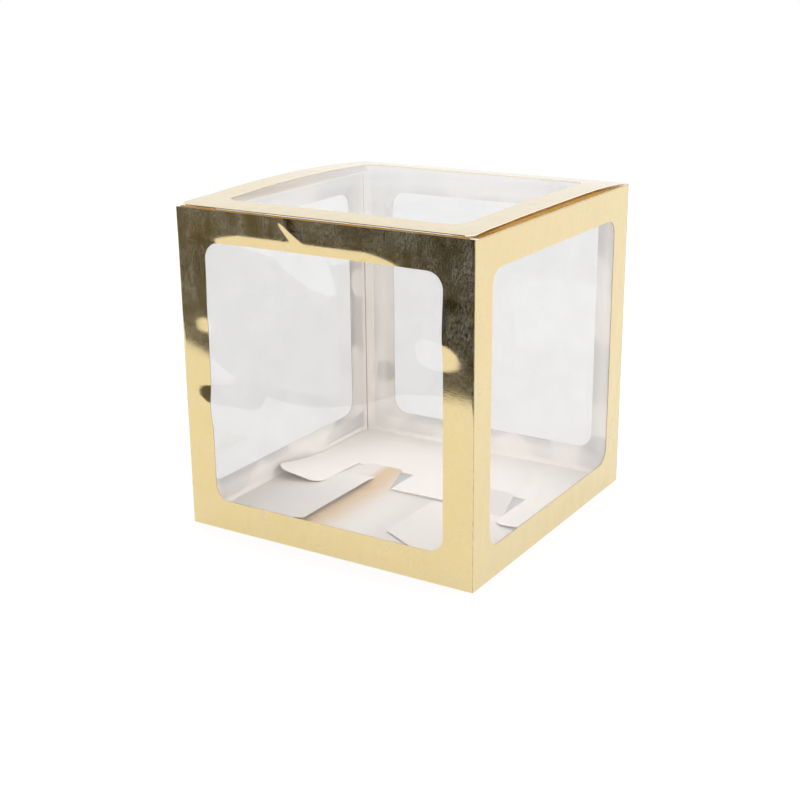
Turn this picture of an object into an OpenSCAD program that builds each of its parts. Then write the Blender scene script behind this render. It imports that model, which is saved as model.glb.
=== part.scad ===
// Folding card box with clear windows: four walls, a bowed lid with a tuck flap, two dust flaps,
// and four bottom flaps that lock together. Every panel is card, foiled on its outer face and
// white inside. The origin is the middle of the footprint, on the surface the box stands on;
// +Z is up and the front wall faces -Y.

/* [Box] */
// Outside width of the box, left to right
box_w = 300; // [240:1:420]
// Outside depth of the box, front to back
box_d = 300; // [240:1:420]
// Height of the front and back walls
box_h = 300; // [160:1:420]

/* [Sheet] */
// Thickness of the foiled card
board_t = 0.6; // [0.4:0.05:0.8]
// Thickness of the clear window film
film_t = 0.25; // [0.1:0.05:0.4]
// Gap left between two sheets that move past each other
sheet_gap = 0.3; // [0.2:0.05:0.6]
// Gap left between a crease's middle line and a sheet that starts just beside it
crease_gap = 0.1; // [0.05:0.05:0.2]
// Width of card between the edge of the film and the nearest crease
film_inset = 7; // [4:0.5:15]

/* [Windows] */
// Card left round each wall window
wall_border = 29; // [18:1:45]
// Card left on the seam side of the back window
seam_border = 37; // [20:1:50]
// Corner radius of every window
window_r = 15; // [4:1:25]

/* [Seam] */
// Width of the flap glued inside the back left corner
seam_w = 10; // [8:0.5:24]
// How far the seam flap stops short of the top and the bottom
seam_end = 12; // [4:1:30]

/* [Lid] */
// How much the card between the creases of the lid bows up
lid_bow = 6.5; // [2:0.5:14]
// How much narrower the lid is than the box, on each side
lid_inset = 3; // [1:0.5:8]
// Card left round the lid window
lid_border = 30; // [18:1:45]
// Radius of the lid's two front corners
lid_corner_r = 8; // [2:0.5:15]

/* [Tuck flap] */
// Length of the tuck flap, from its crease to its free edge
tuck_l = 28; // [15:1:45]
// How much narrower the tuck flap is than the lid, on each side
tuck_inset = 2; // [1:0.5:10]
// Radius of the tuck flap's two lower corners
tuck_r = 14; // [4:1:15]
// How far the tuck flap leans into the box, in degrees
tuck_lean = 4; // [4:0.5:8]

/* [Dust flaps] */
// Length of each dust flap, from its crease to its free edge
dust_l = 28; // [15:1:40]
// Gap between a dust flap and the front wall, where the tuck flap goes in
dust_front_gap = 5; // [4:0.5:12]
// Gap between a dust flap and the back wall, at the crease
dust_back_gap = 4; // [3:0.5:12]

/* [Bottom flaps] */
// How far the front flap's edge reaches behind the middle of the box, between its tabs
front_reach = 3; // [0:0.5:6]
// How far the back flap's two outer arms reach in front of the middle of the box
arm_reach = 18; // [5:1:50]
// How far behind the middle of the box the back flap's middle arm ends
mid_arm_y = 8; // [7:0.5:30]
// How far behind the middle of the box the back flap's two slots end
slot_end_y = 52; // [35:1:70]
// Distance between the outer sides of the two slots
slot_span = 196; // [160:1:240]
// Width of the back flap's middle arm
mid_arm_w = 60; // [40:1:80]
// Radius of the middle arm's two corners
mid_arm_r = 1; // [0.5:0.5:10]
// Radius of the corners of the outer arms
arm_r = 12; // [2:1:20]
// Gap between the end of a tab and the end of its slot
tab_end_gap = 5; // [1:0.5:10]
// Gap between a tab and the sides of its slot
tab_gap = 2; // [1:0.5:5]
// How much a tab narrows on each side towards its end
tab_taper = 9; // [2:0.5:14]
// Radius of the ends of the tabs
tab_r = 7; // [2:0.5:12]
// Length of the left flap, from its crease
left_flap_l = 90; // [60:1:120]
// Length of the right flap, from its crease
right_flap_l = 128; // [60:1:155]
// Gap between a side flap and the front wall, at the crease
side_front_gap = 4; // [3:0.5:10]
// Slope of a side flap's front edge: length along the flap for each unit away from the front
side_front_slope = 1.95; // [1:0.05:1.95]
// Gap between a side flap and the back wall, at the crease
side_back_gap = 4; // [3:0.5:10]
// How much a side flap narrows at the back towards its free edge
side_back_taper = 26; // [5:1:50]
// How much the right flap narrows at the back towards the slot, beside which it is cut back
right_back_taper = 14; // [2:1:40]
// Gap between the ends of the front and back flaps and the side walls
flap_side_gap = 2; // [1:0.5:6]

/* [Hidden] */
foil_colour = "#e6cf8c";
card_colour = "#e9e4de";
film_colour = "#dfe6ea";
arc_facets = 720;
round_facets = 64;
// half sizes of the outside, and of the space inside the walls
half_w = box_w / 2;
half_d = box_d / 2;
inner_w = half_w - board_t;
inner_d = half_d - board_t;
// a hinge turns about the middle of its sheet, just inside the edge of that sheet
hinge_in = board_t / 2;
// heights of the stacked sheets at the top: side walls, dust flaps, lid
dust_z = box_h - board_t;
side_wall_h = dust_z - sheet_gap;
lid_z = box_h + sheet_gap;
// heights of the stacked sheets at the bottom: front flap, side flaps, back flap
side_flap_z = board_t + sheet_gap;
back_flap_z = side_flap_z + board_t + sheet_gap;
// the lid runs from the back face to just inside the front wall
lid_w = box_w - 2 * lid_inset;
lid_front = -inner_d + sheet_gap;
lid_run = half_d - lid_front;
lid_mid = (half_d + lid_front) / 2;
lid_r = (lid_run * lid_run / 4 + lid_bow * lid_bow) / (2 * lid_bow);
lid_centre_z = lid_z + lid_bow - lid_r;
// the tuck flap starts just under its hinge, which is just under the lid
tuck_w = lid_w - 2 * tuck_inset;
tuck_hinge_y = lid_front + hinge_in;
tuck_hinge_z = lid_z - sheet_gap;
tuck_start = board_t / 2 + crease_gap;
// edges of the bottom flaps
front_flap_y = -inner_d + sheet_gap;
back_flap_y = inner_d - sheet_gap;
flap_half_w = inner_w - flap_side_gap;
// the back flap's outer arms: their width, middle line and corner radius
arm_w = flap_half_w - slot_span / 2;
arm_x = slot_span / 2 + arm_w / 2;
arm_corner_r = min(arm_r, arm_w / 2 - crease_gap);
// the front flap's tabs: their width at the root, middle line and length
tab_base_w = (slot_span - mid_arm_w) / 2 - 2 * tab_gap;
tab_x = (slot_span + mid_arm_w) / 4;
tab_l = slot_end_y - tab_end_gap - front_reach;

// Flat shapes

// a rectangle with all four corners rounded, its lower left corner at the origin
module rounded_rect(w, h, r) {
  translate([r, 0]) square([w - 2 * r, h]);
  translate([0, r]) square([w, h - 2 * r]);
  for (x = [r, w - r], y = [r, h - r]) translate([x, y]) circle(r, $fn = round_facets);
}

// an arm of width w that points down (-Y) from the origin for a length l, with a rounded end
module arm(w, l, r) {
  translate([-w / 2, r - l]) square([w, l - r]);
  translate([r - w / 2, -l]) square([w - 2 * r, r]);
  for (x = [r - w / 2, w / 2 - r]) translate([x, r - l]) circle(r, $fn = round_facets);
}

// a wall's card, from u0 to u1, with a window; size is the box's outside size along u
module wall_shape(u0, u1, height, size, border_0, border_1) {
  difference() {
    translate([u0, 0]) square([u1 - u0, height]);
    translate([border_0 - size / 2, wall_border])
      rounded_rect(size - border_0 - border_1, box_h - 2 * wall_border, window_r);
  }
}

// the film behind a wall's window
module film_shape(size, inset_0) {
  translate([inset_0 - size / 2, film_inset])
    square([size - inset_0 - film_inset, box_h - 2 * film_inset]);
}

// a side bottom flap: u runs from its crease, v from the front wall to the back wall
module side_flap_shape(l) {
  back_v = box_d - side_back_gap;
  polygon([[0, side_front_gap], [l, side_front_gap + l / side_front_slope],
           [l, back_v - side_back_taper], [0, back_v]]);
}

// the same, cut back beside the slot, so that the tab there comes up clear of it
module cut_side_flap_shape(l, slot_u) {
  back_v = box_d - side_back_gap;
  cut_v = half_d + front_reach;
  polygon([[0, side_front_gap], [l, side_front_gap + l / side_front_slope],
           [l, cut_v], [slot_u, cut_v], [slot_u, back_v - right_back_taper], [0, back_v]]);
}

// Placing

// stands a flat shape up, facing front, with its outer (front) face at y
module facing_front(y, t) {
  translate([0, y + t, 0]) rotate([90, 0, 0]) linear_extrude(t) children();
}

// stands a flat shape up, facing right, with its low x face at x
module facing_side(x, t) {
  translate([x, 0, 0]) rotate([90, 0, 90]) linear_extrude(t) children();
}

// a sheet that follows the lid's bow, r_in below and r_out above, over the whole lid
module bowed_sheet(r_in, r_out) {
  rotate([90, 0, 90]) translate([0, 0, -half_w]) linear_extrude(box_w) intersection() {
    translate([lid_mid, lid_centre_z]) difference() {
      circle(r_out, $fn = arc_facets);
      circle(r_in, $fn = arc_facets);
    }
    translate([lid_front, lid_z - board_t]) square([lid_run, lid_bow + 3 * board_t]);
  }
}

// a prism that stands over a flat shape and takes in the whole height of the lid
module lid_prism() {
  translate([0, 0, lid_z - 2 * board_t]) linear_extrude(lid_bow + 5 * board_t) children();
}

// Walls

module front_panel() {
  color(foil_colour) facing_front(-half_d, board_t)
    wall_shape(-half_w, half_w, box_h, box_w, wall_border, wall_border);
}

module right_panel() {
  color(foil_colour) facing_side(inner_w, board_t)
    wall_shape(-inner_d, half_d, side_wall_h, box_d, wall_border, wall_border);
}

module back_panel() {
  color(foil_colour) facing_front(inner_d, board_t)
    wall_shape(-half_w, inner_w, box_h, box_w, seam_border, wall_border);
}

module left_panel() {
  color(foil_colour) facing_side(-half_w, board_t)
    wall_shape(-inner_d, inner_d, side_wall_h, box_d, wall_border, wall_border);
}

// glued to the inside of the back wall, with both ends cut at an angle
module seam_flap() {
  low = back_flap_z + board_t + seam_end;
  high = side_wall_h - seam_end;
  color(card_colour) facing_front(inner_d - board_t, board_t)
    polygon([[-inner_w, low - seam_end / 2], [seam_w - inner_w, low],
             [seam_w - inner_w, high], [-inner_w, high + seam_end / 2]]);
}

// Films, each on the inner face of its wall

module front_film() {
  color(film_colour) facing_front(-inner_d, film_t) film_shape(box_w, film_inset);
}

module right_film() {
  color(film_colour) facing_side(inner_w - film_t, film_t) film_shape(box_d, film_inset);
}

module back_film() {
  color(film_colour) facing_front(inner_d - film_t, film_t)
    film_shape(box_w, board_t + seam_w + sheet_gap);
}

module left_film() {
  color(film_colour) facing_side(-inner_w, film_t) film_shape(box_d, film_inset);
}

// Lid

// the lid seen from above: its two front corners are rounded
module lid_outline() {
  translate([0, half_d]) arm(lid_w, lid_run, lid_corner_r);
}

module lid_panel() {
  color(foil_colour) intersection() {
    bowed_sheet(lid_r, lid_r + board_t);
    lid_prism() difference() {
      lid_outline();
      translate([lid_border - half_w, lid_border - half_d])
        rounded_rect(box_w - 2 * lid_border, box_d - 2 * lid_border, window_r);
    }
  }
}

module lid_film() {
  film_w = lid_w - 2 * film_inset;
  film_run = lid_run - 2 * film_inset;
  color(film_colour) intersection() {
    bowed_sheet(lid_r - film_t, lid_r);
    lid_prism() translate([-film_w / 2, lid_front + film_inset]) square([film_w, film_run]);
  }
}

module lid_tuck_flap() {
  color(foil_colour) translate([0, tuck_hinge_y, tuck_hinge_z]) rotate([tuck_lean, 0, 0])
    facing_front(-board_t / 2, board_t) translate([0, -tuck_start])
      arm(tuck_w, tuck_l - tuck_start, tuck_r);
}

// Dust flaps

// seen from above, with its crease on the Y axis and its free edge towards +X
module dust_flap_shape() {
  back_y = half_d - dust_back_gap;
  front_y = dust_front_gap - half_d;
  polygon([[0, front_y], [dust_l, front_y + dust_l / 4], [dust_l, back_y - dust_l], [0, back_y]]);
}

module left_dust_flap() {
  color(foil_colour) translate([-half_w, 0, dust_z]) linear_extrude(board_t) dust_flap_shape();
}

module right_dust_flap() {
  color(foil_colour) translate([half_w, 0, dust_z]) linear_extrude(board_t)
    mirror([1, 0]) dust_flap_shape();
}

// Bottom flaps

// the first flap in: it lies on top, and the front flap's tabs come up in its two slots
module back_bottom_flap() {
  color(card_colour) translate([0, back_flap_y, back_flap_z]) linear_extrude(board_t) {
    translate([-flap_half_w, slot_end_y - back_flap_y])
      square([2 * flap_half_w, back_flap_y - slot_end_y]);
    for (x = [-arm_x, arm_x]) translate([x, 0]) arm(arm_w, back_flap_y + arm_reach, arm_corner_r);
    arm(mid_arm_w, back_flap_y - mid_arm_y, mid_arm_r);
  }
}

module left_bottom_flap() {
  color(card_colour) translate([sheet_gap - inner_w, -half_d, side_flap_z])
    linear_extrude(board_t) side_flap_shape(left_flap_l);
}

module right_bottom_flap() {
  color(card_colour) translate([inner_w - sheet_gap, -half_d, side_flap_z])
    linear_extrude(board_t) mirror([1, 0])
      cut_side_flap_shape(right_flap_l, inner_w - sheet_gap - slot_span / 2 - tab_gap);
}

// one locking tab, pointing to +Y from the origin, narrower and rounded at its end
module tab_shape() {
  end_x = tab_base_w / 2 - tab_taper;
  polygon([[-tab_base_w / 2, 0], [tab_base_w / 2, 0], [end_x, tab_l - tab_r],
           [end_x - tab_r, tab_l], [tab_r - end_x, tab_l], [-end_x, tab_l - tab_r]]);
  for (x = [tab_r - end_x, end_x - tab_r]) translate([x, tab_l - tab_r])
    circle(tab_r, $fn = round_facets);
}

// the last flap in: it lies lowest
module front_bottom_flap() {
  color(card_colour) linear_extrude(board_t) {
    translate([-flap_half_w, front_flap_y]) square([2 * flap_half_w, front_reach - front_flap_y]);
    for (x = [-tab_x, tab_x]) translate([x, front_reach]) tab_shape();
  }
}

front_panel();
right_panel();
back_panel();
left_panel();
seam_flap();
front_film();
right_film();
back_film();
left_film();
lid_panel();
lid_film();
lid_tuck_flap();
left_dust_flap();
right_dust_flap();
back_bottom_flap();
left_bottom_flap();
right_bottom_flap();
front_bottom_flap();
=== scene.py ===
# %% [markdown]
# A folding card box in gold foil, with clear windows.
# The real box is one flat sheet of foiled card, cut, creased and folded up into a cube. Clear film
# is glued behind a window in each wall and in the lid, and the bottom closes with four flaps that
# lock together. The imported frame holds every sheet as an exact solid, flat but for the lid's arch.
# This script gives each sheet what the exact solid lacks: the ripple and slack of real card and
# film, bent corners, flaps that curl and spring up, and a foil, card or film finish.

import math

import bpy
from mathutils import Matrix, Vector


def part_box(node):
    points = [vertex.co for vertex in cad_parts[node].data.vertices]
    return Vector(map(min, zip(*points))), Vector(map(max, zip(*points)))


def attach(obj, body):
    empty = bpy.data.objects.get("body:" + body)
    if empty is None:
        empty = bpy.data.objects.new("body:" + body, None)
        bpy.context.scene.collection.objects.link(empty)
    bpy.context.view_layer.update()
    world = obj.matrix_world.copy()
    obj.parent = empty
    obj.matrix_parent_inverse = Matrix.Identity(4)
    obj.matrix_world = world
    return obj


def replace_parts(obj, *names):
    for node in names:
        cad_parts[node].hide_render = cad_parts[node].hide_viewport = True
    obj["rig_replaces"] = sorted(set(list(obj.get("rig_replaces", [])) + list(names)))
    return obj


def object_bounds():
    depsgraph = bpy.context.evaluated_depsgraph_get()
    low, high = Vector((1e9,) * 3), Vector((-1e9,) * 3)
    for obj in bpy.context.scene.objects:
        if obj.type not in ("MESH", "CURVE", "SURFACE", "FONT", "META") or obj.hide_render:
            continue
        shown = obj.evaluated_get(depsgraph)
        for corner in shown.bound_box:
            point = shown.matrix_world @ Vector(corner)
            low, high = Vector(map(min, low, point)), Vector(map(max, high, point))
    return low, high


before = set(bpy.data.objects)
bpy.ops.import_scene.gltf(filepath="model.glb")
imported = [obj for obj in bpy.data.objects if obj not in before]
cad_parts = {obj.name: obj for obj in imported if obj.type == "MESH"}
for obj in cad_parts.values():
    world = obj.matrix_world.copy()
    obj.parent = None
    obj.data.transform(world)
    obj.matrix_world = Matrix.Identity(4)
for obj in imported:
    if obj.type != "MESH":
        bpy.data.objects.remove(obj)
cad_low, cad_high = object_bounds()
MM = 0.001
scene = bpy.context.scene
scene.view_settings.view_transform = "Standard"
print("frame", [round(x / MM) for x in (*cad_low, *cad_high)], "mm")

# %% [markdown]
# The camera looks a little down on the front right edge, as a person does who walks up to a gift
# table. Its place is given by an angle round the box, an angle above the table and a distance from
# the point it looks at, with a slight tilt. A lens of about 62 mm keeps the upright edges almost
# parallel. Angles are in degrees and places in metres.

# %% The camera
CAMERA_ROUND, CAMERA_ABOVE, CAMERA_TILT = 31.92, 18.27, -0.54
CAMERA_DISTANCE, CAMERA_LENS = 1.3275, 62.15
CAMERA_AIM = Vector((-0.0133, 0, 0.1006))


def add_camera():
    turn, lift = math.radians(CAMERA_ROUND), math.radians(CAMERA_ABOVE)
    back = Vector((math.sin(turn) * math.cos(lift), -math.cos(turn) * math.cos(lift), math.sin(lift)))
    camera = bpy.data.objects.new("camera", bpy.data.cameras.new("camera"))
    scene.collection.objects.link(camera)
    camera.data.lens = CAMERA_LENS
    tilt = Matrix.Rotation(math.radians(CAMERA_TILT), 4, "Z")
    camera.matrix_world = (Matrix.Translation(CAMERA_AIM + back * CAMERA_DISTANCE)
                           @ back.to_track_quat("Z", "Y").to_matrix().to_4x4() @ tilt)
    scene.camera = camera
    print("camera at", [round(x, 3) for x in camera.location])


add_camera()

# %% [markdown]
# Materials are built from nodes. One small function adds a node, sets its options and fills or
# links its sockets, and another turns the sRGB hex colour that a paint chart gives into the linear
# colour that the renderer works in.

# %% Helpers for materials
def colour(hex_code):
    """The linear colour of an sRGB hex code, with full alpha."""
    parts = [int(hex_code[i:i + 2], 16) / 255 for i in (1, 3, 5)]
    return (*[p / 12.92 if p <= 0.04045 else ((p + 0.055) / 1.055) ** 2.4 for p in parts], 1.0)


def node(tree, kind, sockets=None, **options):
    """Adds a node. sockets maps an input's name or number to a value, an output or another node."""
    made = tree.nodes.new("ShaderNode" + kind)
    for key, value in options.items():
        setattr(made, key, value)
    for key, value in (sockets or {}).items():
        goal = made.inputs[key] if isinstance(key, int) else next(
            s for s in made.inputs if s.enabled and s.name == key)
        if isinstance(value, bpy.types.Node):
            value = next(s for s in value.outputs if s.enabled)
        if isinstance(value, bpy.types.NodeSocket):
            tree.links.new(value, goal)
        else:
            goal.default_value = value
    return made


def new_material(name):
    """An empty material and its node tree."""
    material = bpy.data.materials.new(name)
    material.use_nodes = True
    material.node_tree.nodes.clear()
    return material, material.node_tree


def beside_middle(tree, place):
    """How far a point is from the middle of the box, along x and along y."""
    at = node(tree, "SeparateXYZ", {0: place}).outputs
    return [node(tree, "Math", {0: at[axis]}, operation="ABSOLUTE") for axis in "XY"]


def corner_distance(tree, place):
    """How far a point is from the nearest upright corner of the box."""
    beside = beside_middle(tree, place)
    from_x = node(tree, "Math", {0: cad_high.x, 1: beside[0]}, operation="SUBTRACT")
    from_y = node(tree, "Math", {0: cad_high.y, 1: beside[1]}, operation="SUBTRACT")
    return node(tree, "Math", {0: from_x, 1: from_y}, operation="MAXIMUM")


# %% [markdown]
# The outside is gold foil card: a metallised polyester film a few hundredths of a millimetre thick,
# tinted with gold lacquer and laminated to board. It mirrors the room, but never as cleanly as
# glass, because the fibres of the board print through it. So there are two lobes: a sharp one
# whose normal the board's grain tilts by a fraction of a degree, which frays the edges of
# reflections, and a dull one whose share varies with rubbing and dust. The lacquer is a clear
# coat, which whitens at flat angles. Where foil faces foil, in creases and in the gaps under the
# lid, a deeper gold and a share of matt deep gold are painted on: a painted reflection of gold light
# that has bounced between foil faces. Along the upright corners a thin line of bare brown board is
# painted on, drawn as lacquer cracked down to the board: a painted highlight that stands for the
# bright line along each corner's bend.

# %% Gold foil
FOIL_GOLD, FOIL_PALE, PAINTED_GOLD_LIGHT, CORNER_HIGHLIGHT_BROWN = "#DFC78C", "#E5D09B", "#E2AE46", "#94835C"
FOIL_GRAIN, FOIL_MOTTLE, FOIL_CLOUD = 1.5 * MM, 6 * MM, 60 * MM
FOIL_RELIEF, MOTTLE_SHARE = 0.022 * MM, 1.2
FOIL_SMOOTH, FOIL_ROUGH = 0.05, 0.10
LACQUER_COAT, LACQUER_ROUGH, GOLD_LIGHT_MATT_SHARE = 0.7, 0.08, 0.55
HIGHLIGHT_LINE_WIDTH, RUBBED_GREY = 1.0 * MM, "#B5B3A4"
HIGHLIGHT_LINE_FRAY, HIGHLIGHT_LINE_START, HIGHLIGHT_LINE_END = HIGHLIGHT_LINE_WIDTH * 2, HIGHLIGHT_LINE_WIDTH * 1.1, HIGHLIGHT_LINE_WIDTH * 1.7
DUST_LEAST, DUST_MOST = 0.010, 0.22
DUST_PATCH, DUST_SPECK, DUST_STRETCH = 14 * MM, 1.5 * MM, (1.0, 1.0, 0.5)


def foil_dust(tree, place):
    """How much of the surface is dull: rubbed patches of fine specks, both drawn out upright."""
    streaks = node(tree, "Mapping", {"Vector": place, "Scale": DUST_STRETCH})
    patch = node(tree, "TexNoise", {"Vector": streaks, "Scale": 1 / DUST_PATCH, "Detail": 3.0})
    speck = node(tree, "TexNoise", {"Vector": streaks, "Scale": 1 / DUST_SPECK, "Detail": 3.0})
    patch = node(tree, "MapRange", {"Value": patch, "From Min": 0.36, "From Max": 0.68})
    speck = node(tree, "MapRange", {"Value": speck, "From Min": 0.36, "From Max": 0.72})
    both = node(tree, "Math", {0: patch, 1: speck}, operation="MULTIPLY")
    return node(tree, "MapRange", {"Value": both, "To Min": DUST_LEAST, "To Max": DUST_MOST})


def foil_material():
    material, tree = new_material("gold_foil_card")
    place = node(tree, "TexCoord").outputs["Object"]
    grain = node(tree, "TexNoise", {"Vector": place, "Scale": 1 / FOIL_GRAIN, "Detail": 2.0})
    mottle = node(tree, "TexNoise", {"Vector": place, "Scale": 1 / FOIL_MOTTLE, "Detail": 4.0})
    cloud = node(tree, "TexNoise", {"Vector": place, "Scale": 1 / FOIL_CLOUD, "Detail": 2.0})
    # A painted reflection: this attribute marks where gold light, bounced between foil faces, deepens the
    # colour.
    gold_light = node(tree, "Attribute", attribute_name="gold_light").outputs["Fac"]
    tone = node(tree, "Mix", {"Factor": cloud, "A": colour(FOIL_GOLD), "B": colour(FOIL_PALE)},
                data_type="RGBA")
    tone = node(tree, "Mix", {"Factor": gold_light, "A": tone, "B": colour(PAINTED_GOLD_LIGHT)}, data_type="RGBA")

    # the mirror face, roughened by the board's grain
    relief = node(tree, "Math", {0: mottle, 1: MOTTLE_SHARE, 2: grain}, operation="MULTIPLY_ADD")
    bump = node(tree, "Bump", {"Height": relief, "Strength": 0.5, "Distance": FOIL_RELIEF})
    rough = node(tree, "MapRange", {"Value": mottle, "From Min": 0.3, "From Max": 0.7,
                                    "To Min": FOIL_SMOOTH, "To Max": FOIL_ROUGH})
    sharp = node(tree, "BsdfPrincipled", {
        "Base Color": tone, "Metallic": 1.0, "Roughness": rough,
        "Coat Weight": LACQUER_COAT, "Coat Roughness": LACQUER_ROUGH, "Normal": bump})

    # dust and rubbing, and a painted reflection: matt deep gold where light has bounced between foil faces
    dull = node(tree, "BsdfDiffuse", {"Color": colour(RUBBED_GREY), "Roughness": 0.5})
    metal = node(tree, "MixShader", {0: foil_dust(tree, place), 1: sharp, 2: dull})
    gold_light_matt = node(tree, "BsdfDiffuse", {"Color": colour(PAINTED_GOLD_LIGHT)})
    gold_light_share = node(tree, "Math", {0: gold_light, 1: GOLD_LIGHT_MATT_SHARE}, operation="MULTIPLY")
    metal = node(tree, "MixShader", {0: gold_light_share, 1: metal, 2: gold_light_matt})

    # a painted highlight along the upright corners: a thin line of bare board, drawn as cracked lacquer
    frayed = node(tree, "Math", {0: mottle, 1: HIGHLIGHT_LINE_FRAY, 2: corner_distance(tree, place)},
                  operation="MULTIPLY_ADD")
    corner_highlight = node(tree, "MapRange", {"Value": frayed, "From Min": HIGHLIGHT_LINE_START, "From Max": HIGHLIGHT_LINE_END,
                                    "To Min": 1.0, "To Max": 0.0})
    highlight_line = node(tree, "BsdfPrincipled", {"Base Color": colour(CORNER_HIGHLIGHT_BROWN), "Roughness": 0.7})
    whole = node(tree, "MixShader", {0: corner_highlight, 1: metal, 2: highlight_line})
    node(tree, "OutputMaterial", {"Surface": whole})
    return material


foil = foil_material()
print("made", foil.name)

# %% [markdown]
# The inside and every cut edge are bare board: bleached paper pulp, pressed smooth but not coated.
# It is matt and a little warm, with a faint cloudiness where the fibres lie thicker, and a fine
# tooth. A trace of sheen stands for the loose fibres on the surface. In the box's upright corners a
# thin dark line is painted on, a painted shadow in the gap of the crease. Where a foil face stands
# close over the board, its gold light tints the board, and where a sheet lies close over another it
# is in shade. Both are painted on.

# %% White board
BOARD_WHITE, BOARD_WARM, BOARD_GLOW, BOARD_SHADE = "#F1ECE7", "#EBE4DD", "#CDA873", "#B1ADA9"
CORNER_GAP_SHADE, CORNER_SHADE_WIDTH, CORNER_SHADE_CORE = "#857C72", 1.5 * MM, 1.2 * MM
BOARD_TOOTH, BOARD_CLOUD, BOARD_RELIEF = 0.8 * MM, 22 * MM, 0.05 * MM


def board_material():
    material, tree = new_material("white_card")
    place = node(tree, "TexCoord").outputs["Object"]
    tooth = node(tree, "TexNoise", {"Vector": place, "Scale": 1 / BOARD_TOOTH, "Detail": 4.0})
    cloud = node(tree, "TexNoise", {"Vector": place, "Scale": 1 / BOARD_CLOUD, "Detail": 3.0})
    warm = node(tree, "Attribute", attribute_name="warm").outputs["Fac"]
    shade = node(tree, "Attribute", attribute_name="shade").outputs["Fac"]
    # A painted shadow: a thin dark line in each upright corner, where the crease leaves a gap.
    crease = node(tree, "MapRange", {"Value": corner_distance(tree, place),
                                     "From Min": CORNER_SHADE_CORE, "From Max": CORNER_SHADE_WIDTH,
                                     "To Min": 1.0, "To Max": 0.0})
    tone = node(tree, "Mix", {"Factor": cloud, "A": colour(BOARD_WHITE), "B": colour(BOARD_WARM)},
                data_type="RGBA")
    for part, hex_code in ((shade, BOARD_SHADE), (warm, BOARD_GLOW), (crease, CORNER_GAP_SHADE)):
        tone = node(tree, "Mix", {"Factor": part, "A": tone, "B": colour(hex_code)}, data_type="RGBA")
    bump = node(tree, "Bump", {"Height": tooth, "Strength": 0.3, "Distance": BOARD_RELIEF})
    pulp = node(tree, "BsdfPrincipled", {"Base Color": tone, "Roughness": 0.78, "IOR": 1.45,
                                         "Sheen Weight": 0.05, "Normal": bump})
    node(tree, "OutputMaterial", {"Surface": pulp})
    return material


board = board_material()
print("made", board.name)

# %% [markdown]
# The punch that cuts the blank and its windows crushes the board along the cut, so the thin edge is
# darker than the face and has fine layers along it. It takes its own finish. An attribute painted on
# the lid makes the lid's cut edges paler.

# %% Cut edge
CUT_DARK, CUT_PALE, CUT_PALER_TONE = "#7F7258", "#A79A7E", "#DDD3C0"
CUT_LAYER, CUT_PATCH, CUT_RELIEF = 0.2 * MM, 3 * MM, 0.04 * MM


def cut_material():
    material, tree = new_material("cut_board_edge")
    place = node(tree, "TexCoord").outputs["Object"]
    layers = node(tree, "TexNoise", {"Vector": place, "Scale": 1 / CUT_LAYER, "Detail": 2.0})
    patch = node(tree, "TexNoise", {"Vector": place, "Scale": 1 / CUT_PATCH, "Detail": 3.0})
    tone = node(tree, "Mix", {"Factor": patch, "A": colour(CUT_DARK), "B": colour(CUT_PALE)},
                data_type="RGBA")
    paler_edge = node(tree, "Attribute", attribute_name="paler_edge").outputs["Fac"]
    tone = node(tree, "Mix", {"Factor": paler_edge, "A": tone, "B": colour(CUT_PALER_TONE)}, data_type="RGBA")
    bump = node(tree, "Bump", {"Height": layers, "Strength": 0.4, "Distance": CUT_RELIEF})
    fibre = node(tree, "BsdfPrincipled", {"Base Color": tone, "Roughness": 0.85, "Normal": bump})
    node(tree, "OutputMaterial", {"Surface": fibre})
    return material


cut = cut_material()
print("made", cut.name)

# %% [markdown]
# The windows are clear polyester film. It lets nearly all light through, but it mirrors the room
# more and more as it is seen at a flatter angle. Here a clear shader and a glossy one are mixed by
# Schlick's rule, which gives that growth from the facing angle alone and works the same from both
# sides of a thin sheet. A very faint haze, in soft clouds, is the film's own scatter and dust.
# Where the film is glued to the board there is no air behind it, so it can't be seen there at all.

# %% Clear film
FILM_TINT, FILM_HAZE = "#F8F8F8", "#B4B3B2"
HEAD_ON_MIRROR, SCHLICK_POWER, FILM_ROUGH = 0.04, 5.0, 0.02
HAZE_LEAST, HAZE_MOST, HAZE_CLOUD = 0.02, 0.06, 45 * MM


def film_material():
    material, tree = new_material("clear_film")
    place = node(tree, "TexCoord").outputs["Object"]
    facing = node(tree, "LayerWeight", {"Blend": 0.5}).outputs["Facing"]
    steep = node(tree, "Math", {0: facing, 1: SCHLICK_POWER}, operation="POWER")
    mirror = node(tree, "MapRange", {"Value": steep, "To Min": HEAD_ON_MIRROR, "To Max": 1.0})
    cloud = node(tree, "TexNoise", {"Vector": place, "Scale": 1 / HAZE_CLOUD, "Detail": 3.0})
    haze = node(tree, "MapRange", {"Value": cloud, "From Min": 0.35, "From Max": 0.7,
                                   "To Min": HAZE_LEAST, "To Max": HAZE_MOST})
    clear = node(tree, "BsdfTransparent", {"Color": colour(FILM_TINT)})
    dust = node(tree, "BsdfDiffuse", {"Color": colour(FILM_HAZE)})
    body = node(tree, "MixShader", {0: haze, 1: clear, 2: dust})
    gloss = node(tree, "BsdfGlossy", {"Color": (1, 1, 1, 1), "Roughness": FILM_ROUGH})
    both = node(tree, "MixShader", {0: mirror, 1: body, 2: gloss})
    glued = node(tree, "Attribute", attribute_name="glued").outputs["Fac"]
    whole = node(tree, "MixShader", {0: glued, 1: both, 2: node(tree, "BsdfTransparent")})
    node(tree, "OutputMaterial", {"Surface": whole})
    return material


film = film_material()
print("made", film.name)

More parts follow.
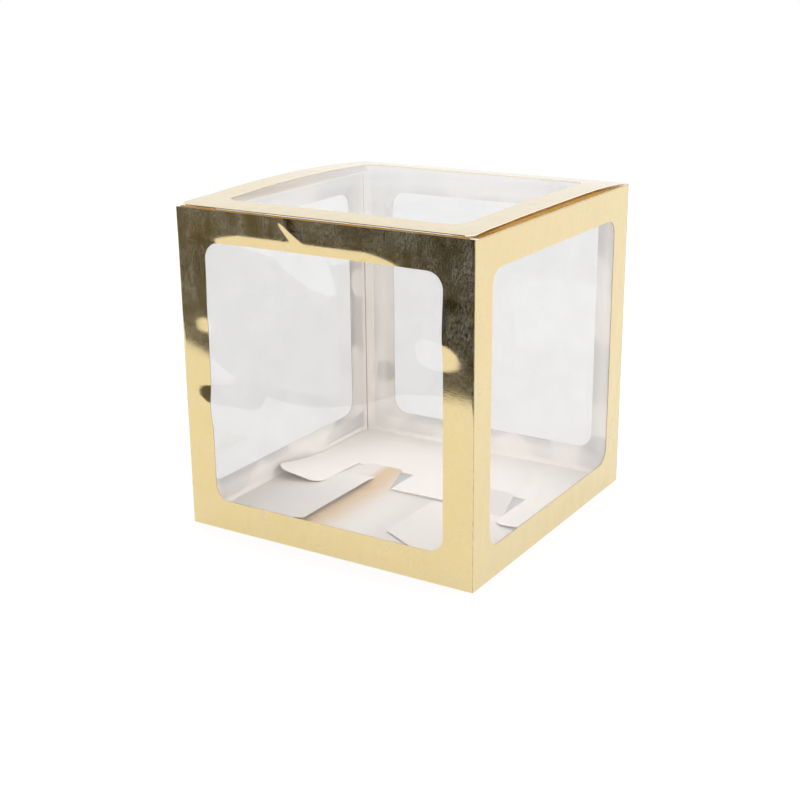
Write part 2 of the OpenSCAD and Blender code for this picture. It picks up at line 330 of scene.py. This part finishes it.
# %% [markdown]
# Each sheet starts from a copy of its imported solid, which has the exact outline, window and
# thickness. The copy's loose triangles are merged, and then it is sliced into a grid of small cells
# with bisect, so that it can bend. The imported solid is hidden, and the new sheet rides on the same
# body, so that it opens and folds with it.

# %% Helpers for sheets
FLAT_ANGLE, WELD, CREASE_ANGLE = math.radians(0.3), 0.001 * MM, math.radians(30)
# How much of a face's normal lies along a way before the face counts as looking that way: the
# second value is for the narrow faces along the rim of an upright sheet.
FACING, EDGE_ON = 0.3, 0.5
AXES = {"X": Vector((1, 0, 0)), "Y": Vector((0, 1, 0)), "Z": Vector((0, 0, 1))}


def only(piece):
    """Selects one piece alone and makes it active."""
    bpy.ops.object.select_all(action="DESELECT")
    piece.select_set(True)
    bpy.context.view_layer.objects.active = piece


def cell_cuts(piece, axis, step):
    """Slices the piece right across, every step along an axis, in edit mode."""
    along = [v.co.dot(AXES[axis]) for v in piece.data.vertices]
    low, high = min(along), max(along)
    count = max(1, round((high - low) / step))
    bpy.ops.object.mode_set(mode="EDIT")
    for i in range(1, count):
        bpy.ops.mesh.select_all(action="SELECT")
        cut = AXES[axis] * (low + (high - low) * i / count)
        bpy.ops.mesh.bisect(plane_co=cut, plane_no=AXES[axis])
    bpy.ops.object.mode_set(mode="OBJECT")


def sheet_from(cad_node, name, axes, step):
    """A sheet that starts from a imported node, in cells of about step along both axes, and replaces it."""
    piece = bpy.data.objects.new(name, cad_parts[cad_node].data.copy())
    scene.collection.objects.link(piece)
    piece.data.materials.clear()
    only(piece)
    bpy.ops.mesh.customdata_custom_splitnormals_clear()
    bpy.ops.object.mode_set(mode="EDIT")
    bpy.ops.mesh.select_all(action="SELECT")
    bpy.ops.mesh.remove_doubles(threshold=WELD)
    bpy.ops.mesh.dissolve_limited(angle_limit=FLAT_ANGLE)
    bpy.ops.object.mode_set(mode="OBJECT")
    for axis in axes:
        cell_cuts(piece, axis, step)
    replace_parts(piece, cad_node)
    return piece


def push(piece, axis, distance, weight, texture=None):
    """Moves points along an axis by distance times weight(point), with a Displace modifier."""
    group = piece.vertex_groups.new(name="push")
    for v in piece.data.vertices:
        group.add([v.index], min(1.0, max(0.0, weight(v.co))), "REPLACE")
    mover = piece.modifiers.new("push", "DISPLACE")
    mover.direction, mover.strength, mover.vertex_group = axis, distance, group.name
    mover.texture = texture
    mover.mid_level = 0.5 if texture else 0.0
    only(piece)
    bpy.ops.object.modifier_apply(modifier=mover.name)
    piece.vertex_groups.clear()


def near(value, middle, reach):
    """1 at the middle, falling smoothly to 0 a reach away."""
    t = min(1.0, abs(value - middle) / reach)
    return (1 + math.cos(math.pi * t)) / 2


def rise(value, start, end):
    """0 before start, 1 after end, smooth between. It also falls, where end is below start."""
    t = min(1.0, max(0.0, (value - start) / (end - start)))
    return t * t * (3 - 2 * t)


def paint(piece, name, weight):
    """Paints a value from 0 to 1 on the points, under a name that a material reads."""
    values = piece.data.attributes.new(name, "FLOAT", "POINT")
    values.data.foreach_set("value", [min(1.0, max(0.0, weight(v.co))) for v in piece.data.vertices])


def dress(piece, body, outer, outside=None, rim=None):
    """Gives the finish: outer where outside(face) is true, cut edge where rim(face) is, board elsewhere."""
    piece.data.materials.append(outer)
    if outside:
        piece.data.materials.append(board)
        piece.data.materials.append(cut)
        for face in piece.data.polygons:
            cut_here = rim is not None and rim(face)
            face.material_index = 0 if outside(face) else 2 if cut_here else 1
    only(piece)
    bpy.ops.object.shade_smooth_by_angle(angle=CREASE_ANGLE)
    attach(piece, body)
    print(piece.name, len(piece.data.polygons), "faces, on", body)


# %% [markdown]
# Card is never quite flat. It ripples by a few tenths of a millimetre over a hand's width, and a
# mirror finish makes that very plain. A cloud texture pushes the points in and out, and the push
# fades to nothing at the creases, which hold the sheet straight.

# %% Ripples
def ripple_texture(name, size):
    texture = bpy.data.textures.new(name, "CLOUDS")
    texture.noise_scale, texture.noise_depth = size, 0
    return texture


CARD_RIPPLE_SIZE, FILM_RIPPLE_SIZE = 60 * MM, 85 * MM
card_ripple = ripple_texture("card_ripple", CARD_RIPPLE_SIZE)
film_ripple = ripple_texture("film_ripple", FILM_RIPPLE_SIZE)
print("ripples", round(card_ripple.noise_scale / MM), round(film_ripple.noise_scale / MM), "mm")


def inside_edges(low, high, axes, reach):
    """A weight that is 0 on the sheet's edges and 1 from reach inwards."""
    numbers = ["XYZ".index(a) for a in axes]

    def weight(p):
        return min(rise(min(p[n] - low[n], high[n] - p[n]), 0, reach) for n in numbers)

    return weight


# %% [markdown]
# The four walls are one strip of card, creased at the corners. On the real box the foil runs round
# each crease in a small bend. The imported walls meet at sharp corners, so the outer corner edges of
# the front and back walls are bevelled by nearly the card's own thickness, and the bend ends flush
# with the side walls' faces. The foil is on the outer face and the bend, the bare board inside.
# The front wall has been handled most: it has small bulges, a short ridge and a curled-in strip
# over its window.

# %% Walls
front_low, front_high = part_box("front_panel")
BOARD_T = front_high.y - front_low.y
BEND_STEPS, BEND_SIZE, BEND_PLAY = 5, BOARD_T * 0.98, WELD * 10
# A cut end faces squarely along its wall, and a bend's face turns outwards at least a little.
END_ON, TURNED_OUT = 0.999, 0.02
WALL_CELL, FRONT_CELL, WALL_RIPPLE, EDGE_REACH = 5 * MM, 2.5 * MM, 0.4 * MM, 30 * MM
WALLS = {
    # wall: the axes it spans, the axis it faces along, and which way
    "front": ("XZ", "Y", -1),
    "right": ("YZ", "X", 1),
    "back": ("XZ", "Y", 1),
    "left": ("YZ", "X", -1),
}


def bend_corners(piece, side):
    """Rounds the two upright outer edges of a front or back wall."""
    only(piece)
    low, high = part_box(piece["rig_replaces"][0])
    face_y = low.y if side < 0 else high.y
    ends = [x for x in (low.x, high.x) if abs(abs(x) - cad_high.x) < BEND_PLAY]
    bpy.ops.object.mode_set(mode="EDIT")
    bpy.ops.mesh.select_all(action="DESELECT")
    bpy.ops.object.mode_set(mode="OBJECT")
    points = piece.data.vertices
    for edge in piece.data.edges:
        a, b = (points[i].co for i in edge.vertices)
        on_face = abs(a.y - face_y) < WELD and abs(b.y - face_y) < WELD
        at_end = any(abs(a.x - x) < WELD and abs(b.x - x) < WELD for x in ends)
        edge.select = on_face and at_end
    bpy.ops.object.mode_set(mode="EDIT")
    bpy.ops.mesh.select_mode(type="EDGE")
    bpy.ops.mesh.bevel(offset=BEND_SIZE, segments=BEND_STEPS, affect="EDGES")
    bpy.ops.object.mode_set(mode="OBJECT")


# Small bulges in the front: the middle across and up, how far each reaches across, down and up, and
# how far out it stands, in mm. The mirror shows the bright table in a bulge's lower half and the
# dark room in its upper half.
BULGES = (
    (-117, 208, 30, 24, 40, 1.05),
    (-114, 117, 44, 24, 26, 2.6),
    (117, 220, 38, 33, 46, 2.3),
)
# A short ridge, where the card was once bent: its middle, its direction, its half length and half
# width, and its height, in mm.
RIDGE_MIDDLE, RIDGE_WAY, RIDGE_SIZE = (-30, 293), (0.76, -0.65), (21, 7, 1.3)
# The sag and the belly: heights on the wall, how deep they go, and their middle and reach across.
WALL_BORDER = 29 * MM  # the card round each wall's window
WINDOW_TOP = front_high.z - WALL_BORDER
SAG_TOP, SAG_END, SAG_FULL, SAG_DEPTH = 291 * MM, 140 * MM, 232 * MM, 2.4 * MM
SAG_MIDDLE, SAG_REACH, SAG_FLAT = -20 * MM, 165 * MM, 1.5
BELLY_Z, BELLY_END, BELLY_DEPTH = 205 * MM, 105 * MM, 5.0 * MM
BELLY_MIDDLE, BELLY_REACH = -20 * MM, 110 * MM


def sag(p):
    """The board over the front window curls in towards it. The film goes with it, and less lower down."""
    across = min(1.0, SAG_FLAT * near(p.x, SAG_MIDDLE, SAG_REACH))
    if p.z > WINDOW_TOP:
        return across * max(0.0, (SAG_TOP - p.z) / (SAG_TOP - WINDOW_TOP)) ** 2
    return across * rise(p.z, SAG_END, SAG_FULL)


def belly(p):
    """The slack of the front film: steepest under the window's top edge, deepest above its middle."""
    across = near(p.x, BELLY_MIDDLE, BELLY_REACH)
    if p.z > BELLY_Z:
        return across * max(0.0, 1 - ((p.z - BELLY_Z) / (WINDOW_TOP - BELLY_Z)) ** 2)
    return across * rise(p.z, BELLY_END, BELLY_Z)


def ridge(p):
    """1 on the ridge's line and 0 away from it, measured along and across its direction."""
    x, z = p.x / MM - RIDGE_MIDDLE[0], p.z / MM - RIDGE_MIDDLE[1]
    along, across = x * RIDGE_WAY[0] + z * RIDGE_WAY[1], z * RIDGE_WAY[0] - x * RIDGE_WAY[1]
    return near(along, 0, RIDGE_SIZE[0]) * near(across, 0, RIDGE_SIZE[1])


def dent_front(piece):
    """The bulges and the sag, which the front wall and its film share."""
    for x, z, across, down, up, out in BULGES:
        push(piece, "Y", -out * MM, lambda p: (near(p.x, x * MM, across * MM)
                                               * near(p.z, z * MM, (up if p.z > z * MM else down) * MM)))
    push(piece, "Y", SAG_DEPTH, sag)


def make_wall(name):
    axes, facing, side = WALLS[name]
    piece = sheet_from(name + "_panel", name + "_wall", axes,
                       FRONT_CELL if name == "front" else WALL_CELL)
    low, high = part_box(name + "_panel")
    if facing == "Y":
        bend_corners(piece, side)
    push(piece, facing, WALL_RIPPLE, inside_edges(low, high, axes, EDGE_REACH), card_ripple)
    if name == "front":
        dent_front(piece)
        push(piece, "Y", -RIDGE_SIZE[2] * MM, ridge)
    way = AXES[facing] * side
    across = AXES[axes[0]]
    reach = high["XYZ".index(axes[0])]

    def outside(face):
        cut_end = abs(face.normal.dot(across)) >= END_ON
        at_corner = abs(face.center.dot(across)) > reach - WELD
        return face.normal.dot(way) > TURNED_OUT and (at_corner or not cut_end)

    dress(piece, "walls", foil, outside, rim=lambda face: abs(face.normal.dot(way)) < EDGE_ON)


for wall in WALLS:
    make_wall(wall)

# %% [markdown]
# The seam flap is the strip at the end of the blank. It is glued inside the back left corner, and
# only its thickness and its slanted ends tell it from the wall behind.

# %% Seam flap
SEAM_CELL = 20 * MM


def make_seam():
    piece = sheet_from("seam_flap", "seam_strip", "Z", SEAM_CELL)
    dress(piece, "walls", board)


make_seam()

# %% [markdown]
# Each wall's film is glued to the board round its window and hangs free across it, so it is slack
# in the middle. A broad ripple moves it by up to 0.4 mm there, which bends the reflections that
# cross it. The front film also follows its wall's dents, hangs in a slack belly and has one blister.

# %% Wall films
FILM_CELL, FILM_RIPPLE, FILM_GLUE, FILM_SLACK = 6 * MM, 0.8 * MM, 30 * MM, 50 * MM
RIM_START, RIM_END = 15 * MM, 20 * MM
# The blister: its middle across and up, its reach and its height, in mm.
BLISTER_MIDDLE, BLISTER_REACH, BLISTER_HEIGHT = (-84, 122), 24, 2.2


def glued_rim(low, high, axes):
    """1 on the film's rim, which is glued down, and 0 over the window."""
    numbers = ["XYZ".index(a) for a in axes]
    return lambda p: 1 - rise(min(min(p[n] - low[n], high[n] - p[n]) for n in numbers),
                              RIM_START, RIM_END)


def make_wall_film(name):
    axes, facing, side = WALLS[name]
    piece = sheet_from(name + "_film", name + "_window", axes, FILM_CELL)
    low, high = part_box(name + "_film")
    glue = Vector([FILM_GLUE if a in axes else 0 for a in "XYZ"])
    free = inside_edges(low + glue, high - glue, axes, FILM_SLACK)
    push(piece, facing, FILM_RIPPLE, free, film_ripple)
    if name == "front":
        dent_front(piece)
        push(piece, "Y", BELLY_DEPTH, belly)
        push(piece, "Y", -BLISTER_HEIGHT * MM, lambda p: (
            near(p.x, BLISTER_MIDDLE[0] * MM, BLISTER_REACH * MM)
            * near(p.z, BLISTER_MIDDLE[1] * MM, BLISTER_REACH * MM)))
    paint(piece, "glued", glued_rim(low, high, axes))
    dress(piece, "walls", film)


for wall in WALLS:
    make_wall_film(wall)

# %% [markdown]
# The lid is held at its back crease and by the tuck flap at the front, and the card between springs
# up into a low arch, which the imported lid already has. The tuck flap isn't pushed fully home, so it
# and the front of the lid stand a little proud, and the bend of the crease shows as a thin line of
# deep gold over the front wall: a painted reflection of gold light that has met foil, painted on the
# tuck flap. The right edge of the lid springs up less than the left. The foil runs on round every
# crease, and only a cut edge shows bare board.

# %% Lid and tuck flap
LID_CELL, LID_RIPPLE, LID_PALER_EDGE = 8 * MM, 0.5 * MM, 0.75
PROUD, PROUD_REACH = 1.6 * MM, 60 * MM
LID_LEAN, LEAN_START = 2.6 * MM, 20 * MM
TUCK_CELL, TUCK_GOLD_LIGHT = 10 * MM, 0.35
AT_CREASE = 0.1 * MM
lid_low, lid_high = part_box("lid_panel")


def lift_lid(piece):
    push(piece, "Z", PROUD, lambda p: rise(p.y, lid_low.y + PROUD_REACH, lid_low.y))
    push(piece, "Z", -LID_LEAN, lambda p: rise(p.x, LEAN_START, cad_high.x) * near(p.y, 0, cad_high.y))
    push(piece, "Z", LID_RIPPLE, inside_edges(lid_low, lid_high, "XY", EDGE_REACH), card_ripple)


def lid_outside(face):
    at_crease = min(abs(face.center.y - lid_low.y), abs(face.center.y - lid_high.y)) < AT_CREASE
    return face.normal.z > FACING or at_crease


def make_lid():
    piece = sheet_from("lid_panel", "lid_card", "XY", LID_CELL)
    lift_lid(piece)
    # Makes the lid's cut edges paler.
    paint(piece, "paler_edge", lambda p: LID_PALER_EDGE)
    dress(piece, "lid", foil, lid_outside, rim=lambda face: abs(face.normal.z) < FACING)
    window = sheet_from("lid_film", "lid_window", "XY", FILM_CELL)
    lift_lid(window)
    paint(window, "glued", glued_rim(*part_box("lid_film"), "XY"))
    dress(window, "lid", film)


def make_tuck():
    piece = sheet_from("lid_tuck_flap", "tuck_card", "XZ", TUCK_CELL)
    push(piece, "Z", PROUD, lambda p: 1)
    # A painted reflection: deep gold, for light that has met foil in the crease.
    paint(piece, "gold_light", lambda p: TUCK_GOLD_LIGHT)
    dress(piece, "tuck_flap", foil, lambda face: face.normal.y < -FACING or face.normal.z > EDGE_ON)


make_lid()
make_tuck()

# %% [markdown]
# The dust flaps fold in under the lid's sides. They carry nothing, so they spring back up off their
# creases and sag again towards their free edges. Only a sliver of their foil shows under the arch of
# the lid, in deep gold, because the light there has already met foil; that deep gold is painted on
# near the crease, a painted reflection.

# %% Dust flaps
DUST_CELL, DUST_SAG = 5 * MM, 3 * MM
DUST_SPRING, SPRING_REACH, SPRING_FADE = 2.2 * MM, 9 * MM, 60 * MM
DUST_GOLD_LIGHT, GOLD_LIGHT_REACH = 0.8, 5 * MM


def make_dust(side):
    piece = sheet_from(side + "_dust_flap", side + "_dust_card", "XY", DUST_CELL)
    low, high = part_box(side + "_dust_flap")
    crease, free = (low.x, high.x) if side == "left" else (high.x, low.x)
    push(piece, "Z", -DUST_SAG, lambda p: rise(p.x, crease, free))
    inside_ends = inside_edges(low, high, "Y", SPRING_FADE)
    push(piece, "Z", DUST_SPRING, lambda p: (near(abs(p.x), abs(crease) - SPRING_REACH, SPRING_REACH)
                                             * inside_ends(p)))
    # A painted reflection: deep gold near the crease, for light that has already met foil.
    paint(piece, "gold_light", lambda p: DUST_GOLD_LIGHT * rise(abs(p.x), abs(crease), abs(crease) - GOLD_LIGHT_REACH))
    dress(piece, side + "_dust", foil,
          lambda face: face.normal.z > FACING or abs(face.center.x - crease) < AT_CREASE)


for side in ("left", "right"):
    make_dust(side)

# %% [markdown]
# The bottom locks by friction. The back flap lies on top, with two slots in its front edge. The two
# side flaps lie under it, and the front flap comes last, with two tabs that are pushed up through
# the slots. The tabs spring up over the back flap, and the card round them bulges. The left arm of
# the back flap wasn't pressed home, so its corner curls up, and the right one curls a little. The
# front flap is slid home, until its edge is hidden under the back flap.

# %% Bottom flaps
FLOOR_CELL = 5 * MM
CURL, RIGHT_CURL, CURL_SLIDE = 13 * MM, 5 * MM, 7 * MM
CURL_REACH, CURL_STRETCH, CURL_BEND = 75 * MM, 0.8, 1.6
MIDDLE_RISE, MIDDLE_X, MIDDLE_REACH = 1 * MM, 30 * MM, 90 * MM
MIDDLE_FLAT_Y, MIDDLE_TOP_Y = 70 * MM, 8 * MM
TAB_RISE, TAB_ROOT_Y, TAB_BEND = 4.5 * MM, 3 * MM, 0.8
FRONT_SLIDE, SLIDE_START_Y = 6 * MM, -30 * MM
SIDE_LIFT = {"left": 4 * MM, "right": 1.0 * MM}
LIFT_START = {"left": 30 * MM, "right": 90 * MM}
LIFT_TOP_Y, LIFT_END_Y = 5 * MM, 40 * MM
GLOW_MOST, GLOW_START, GLOW_PEAK, GLOW_REACH = 0.8, -12 * MM, 3 * MM, 42 * MM
BACK_SHADE, FRONT_SHADE, EDGE_SHADE, EDGE_SHADE_REACH = 0.10, 0.36, 0.12, 30 * MM
SIDE_SHADE = {"left": 0.56, "right": 0.36}
SHADE_FULL_Y, SHADE_HALF_Y = -60 * MM, 20 * MM
back_low, back_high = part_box("back_bottom_flap")
tabs_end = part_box("front_bottom_flap")[1].y
left_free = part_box("left_bottom_flap")[1].x
right_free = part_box("right_bottom_flap")[0].x


def finish_flap(piece, body):
    """Bare board above and foil below, since the foil is the outside of the blank."""
    dress(piece, body, foil, lambda face: face.normal.z < -FACING)


def curl(p, corner=back_low):
    """1 at a front corner of the back flap, falling to 0 a reach away."""
    away = math.hypot(p.x - corner.x, (p.y - back_low.y) * CURL_STRETCH)
    return max(0.0, 1 - away / CURL_REACH) ** CURL_BEND


def make_back_flap():
    piece = sheet_from("back_bottom_flap", "back_floor_card", "XY", FLOOR_CELL)
    paint(piece, "shade", lambda p: BACK_SHADE)
    push(piece, "Y", -CURL_SLIDE, curl)
    push(piece, "Z", CURL, curl)
    push(piece, "Z", RIGHT_CURL, lambda p: curl(p, back_high))
    push(piece, "Z", MIDDLE_RISE, lambda p: (near(p.x, MIDDLE_X, MIDDLE_REACH)
                                             * rise(p.y, MIDDLE_FLAT_Y, MIDDLE_TOP_Y)))
    finish_flap(piece, "back_bottom")


def glow_beside(p):
    """The gold light that the left flap's underside throws on the front flap, beside its free edge."""
    away = p.x - left_free
    return GLOW_MOST * rise(away, GLOW_START, GLOW_PEAK) * rise(away, GLOW_REACH, GLOW_PEAK)


def make_front_flap():
    piece = sheet_from("front_bottom_flap", "front_floor_card", "XY", FLOOR_CELL)
    paint(piece, "warm", glow_beside)
    push(piece, "Y", FRONT_SLIDE, lambda p: rise(p.y, SLIDE_START_Y, 0))
    paint(piece, "shade", lambda p: (
        FRONT_SHADE + EDGE_SHADE * rise(p.x, right_free - EDGE_SHADE_REACH, right_free)))
    push(piece, "Z", TAB_RISE, lambda p: rise(p.y, TAB_ROOT_Y, tabs_end) ** TAB_BEND)
    finish_flap(piece, "front_bottom")


def make_side_flap(side):
    piece = sheet_from(side + "_bottom_flap", side + "_floor_card", "XY", FLOOR_CELL)
    low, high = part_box(side + "_bottom_flap")
    crease, free = (low.x, high.x) if side == "left" else (high.x, low.x)
    push(piece, "Z", SIDE_LIFT[side], lambda p: (rise(p.x, crease, free)
                                                 * rise(p.y, low.y, low.y + LIFT_START[side])
                                                 * rise(p.y, LIFT_END_Y, LIFT_TOP_Y)))
    paint(piece, "shade", lambda p: (
        SIDE_SHADE[side] * (1 - 0.5 * rise(p.y, SHADE_FULL_Y, SHADE_HALF_Y))))
    finish_flap(piece, side + "_bottom")


make_back_flap()
make_front_flap()
for side in ("left", "right"):
    make_side_flap(side)

# %% [markdown]
# The studio is a table of milky acrylic, lit from below so that shadows on it stay faint. Where the
# box stands its glow is turned down, a painted shadow of the box, since nothing lights it from above
# there. The table is in a white room that is lit softly from all round, more from the sides than
# from above, with one softbox behind it on the right. A mirror shows what is around it, so what
# stands in front of the box matters as much as the lamps: beyond the table's front edge the room is
# dark, and that dark is what the top of the front wall reflects. The camera itself sees plain white
# behind the box.

# %% Floor, room and lamps
# Two points on the table's front edge, and the size of the table, in metres.
TABLE_EDGE = (Vector((-0.117, -0.597, 0)), Vector((-0.5718, -0.6598, 0)))
TABLE_SIZE, TABLE_PATCH, TABLE_FADE = 6.0, 25 * MM, 8 * MM
TABLE_TONES, TABLE_GLOW, TABLE_COVERED = ("#6A6968", "#6C6B6A"), 0.80, 0.48
ROOM_WHITE, DARK_LEFT, DARK_RIGHT, ROOM_CLUTTER = "#FFFFFF", "#605C53", "#27251F", "#8C826A"
CLUTTER_SCALE, CLUTTER_SHARE = 16.0, 0.5
ROOM_LIGHT = 2.15
LOW_LIGHT, HIGH_LIGHT = 1.3 * ROOM_LIGHT, 0.7 * ROOM_LIGHT
SOFTBOX_PLACE, SOFTBOX_AIM, SOFTBOX_SIZE, SOFTBOX_WATTS = (1.7, 0.9, 1.6), (0.6, 0.3, 0), 1.2, 5


def floor_material():
    material, tree = new_material("pale_table")
    place = node(tree, "TexCoord").outputs["Object"]
    patch = node(tree, "TexNoise", {"Vector": place, "Scale": 1 / TABLE_PATCH, "Detail": 3.0})
    tone = node(tree, "Mix", {"Factor": patch, "A": colour(TABLE_TONES[0]), "B": colour(TABLE_TONES[1])},
                data_type="RGBA")
    beside = beside_middle(tree, place)
    out = node(tree, "Math", {0: beside[0], 1: beside[1]}, operation="MAXIMUM")
    # The glow is turned down under the box: a painted shadow.
    glow = node(tree, "MapRange", {"Value": out, "From Min": cad_high.x - TABLE_FADE,
                                   "From Max": cad_high.x, "To Min": TABLE_COVERED, "To Max": TABLE_GLOW})
    acrylic = node(tree, "BsdfPrincipled", {
        "Base Color": tone, "Roughness": 0.9, "Specular IOR Level": 0.2,
        "Emission Color": (1, 1, 1, 1), "Emission Strength": glow})
    node(tree, "OutputMaterial", {"Surface": acrylic})
    return material


def make_table():
    bpy.ops.object.select_all(action="DESELECT")
    bpy.ops.mesh.primitive_plane_add(size=TABLE_SIZE)
    table = bpy.context.object
    table.name = "table"
    along = (TABLE_EDGE[0] - TABLE_EDGE[1]).normalized()
    across = Vector((-along.y, along.x, 0))
    table.rotation_euler.z = math.atan2(along.y, along.x)
    table.location = TABLE_EDGE[0] + across * TABLE_SIZE / 2
    bpy.ops.object.transform_apply(location=True, rotation=True, scale=True)
    table.data.materials.append(floor_material())


# The dark part of the room: which way it lies, by the parts of a direction, from where it starts to
# where it is whole.
DARK_FORWARD, DARK_UPWARD, DARK_SIDES = (-0.10, -0.35), (0.70, 0.35), (-0.66, -0.42)


def room_tone(tree, way, view):
    """The colour of the dark part: warmer on one side, with the blurred shapes of a workshop in it."""
    side = node(tree, "MapRange", {"Value": way["X"], "From Min": DARK_SIDES[0],
                                   "From Max": DARK_SIDES[1]}, interpolation_type="SMOOTHSTEP")
    shade = node(tree, "Mix", {"Factor": side, "A": colour(DARK_LEFT), "B": colour(DARK_RIGHT)},
                 data_type="RGBA")
    clutter = node(tree, "TexNoise", {"Vector": view, "Scale": CLUTTER_SCALE, "Detail": 6.0,
                                      "Roughness": 0.65})
    shapes = node(tree, "MapRange", {"Value": clutter, "From Min": 0.48, "From Max": 0.72,
                                     "To Min": 0.0, "To Max": CLUTTER_SHARE})
    return node(tree, "Mix", {"Factor": shapes, "A": shade, "B": colour(ROOM_CLUTTER)},
                data_type="RGBA")


def make_room():
    world = bpy.data.worlds.new("room")
    world.use_nodes = True
    world.cycles.sampling_method = "NONE"
    tree = world.node_tree
    tree.nodes.clear()
    scene.world = world
    view = node(tree, "TexCoord").outputs["Generated"]
    way = node(tree, "SeparateXYZ", {0: view}).outputs
    ray = node(tree, "LightPath").outputs
    forward, upward = [
        node(tree, "MapRange", {"Value": way[axis], "From Min": ends[0], "From Max": ends[1]},
             interpolation_type="SMOOTHSTEP")
        for axis, ends in (("Y", DARK_FORWARD), ("Z", DARK_UPWARD))]
    dark = node(tree, "Math", {0: forward, 1: upward}, operation="MULTIPLY")
    dark = node(tree, "Math", {0: dark, 1: ray["Is Glossy Ray"]}, operation="MULTIPLY")
    tone = node(tree, "Mix", {"Factor": dark, "A": colour(ROOM_WHITE), "B": room_tone(tree, way, view)},
                data_type="RGBA")
    seen = node(tree, "Math", {0: ray["Is Camera Ray"], 1: ray["Is Glossy Ray"]}, operation="MAXIMUM")
    soft = node(tree, "MapRange", {"Value": way["Z"], "From Min": 0.15, "From Max": 0.9,
                                   "To Min": LOW_LIGHT, "To Max": HIGH_LIGHT})
    strength = node(tree, "Mix", {"Factor": seen, "A": soft, "B": 1.0})
    glow = node(tree, "Background", {"Color": tone, "Strength": strength})
    node(tree, "OutputWorld", {"Surface": glow})


def add_softbox(name, place, aim, size, watts):
    lamp = bpy.data.objects.new(name, bpy.data.lights.new(name, "AREA"))
    lamp.data.size, lamp.data.energy = size, watts
    lamp.location = place
    lamp.rotation_euler = (Vector(aim) - Vector(place)).to_track_quat("-Z", "Y").to_euler()
    scene.collection.objects.link(lamp)


make_table()
make_room()
add_softbox("side_softbox", SOFTBOX_PLACE, SOFTBOX_AIM, SOFTBOX_SIZE, SOFTBOX_WATTS)
print("stage ready")
